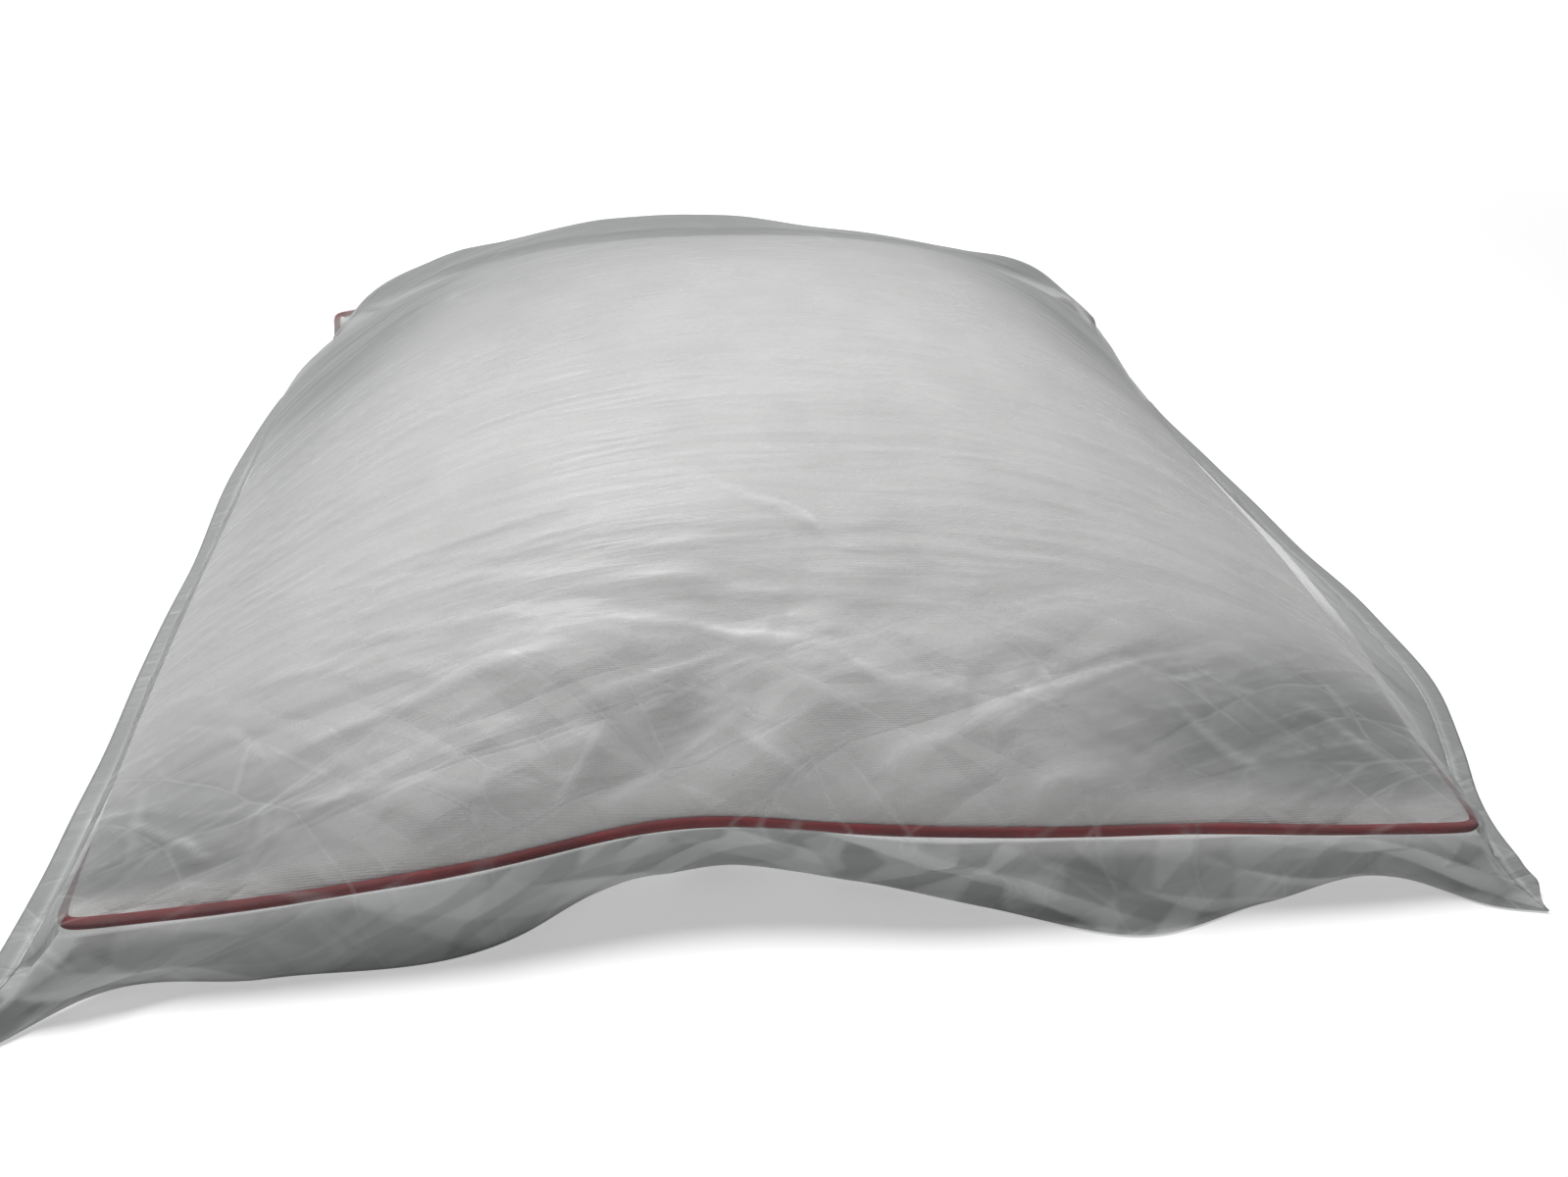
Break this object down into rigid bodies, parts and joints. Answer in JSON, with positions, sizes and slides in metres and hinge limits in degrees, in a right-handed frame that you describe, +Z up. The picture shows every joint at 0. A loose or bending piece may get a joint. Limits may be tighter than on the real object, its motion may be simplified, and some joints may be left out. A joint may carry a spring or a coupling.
{
  "type": "bed pillow",
  "caption": "Plump square bed pillow with contrast piping round its seam, lying flat in a clear film storage bag with welded edges",
  "frame": {"origin": "centre of the bag's footprint, on the surface that the pillow lies on", "axes": "+X to the pillow's right, +Y away from the bag's mouth towards its welded end, +Z up"},
  "size_m": [0.724, 0.7, 0.171],
  "materials": {
    "ticking": "white plain-weave cotton ticking, matt",
    "fibre": "white crimped polyester fibre",
    "piping": "dark red satin-weave bias strip, slight sheen",
    "filler_cord": "twisted cotton filler cord",
    "thread": "spun polyester sewing thread",
    "label_tape": "blank white satin label tape",
    "film": "clear glossy polythene film, hazy where it is loose",
    "film_weld": "double polythene film, heat-welded along its edge"
  },
  "bodies": {
    "root": {"casing_top": "ticking", "casing_bottom": "ticking", "filling": "fibre", "piping_cover": "piping", "piping_cord": "filler_cord", "seam_stitching": "thread", "closing_stitches": "thread", "care_label": "label_tape", "bag_top_film": "film", "bag_bottom_film": "film", "bag_weld_left": "film_weld", "bag_weld_right": "film_weld", "bag_weld_back": "film_weld"}
  },
  "joints": []
}
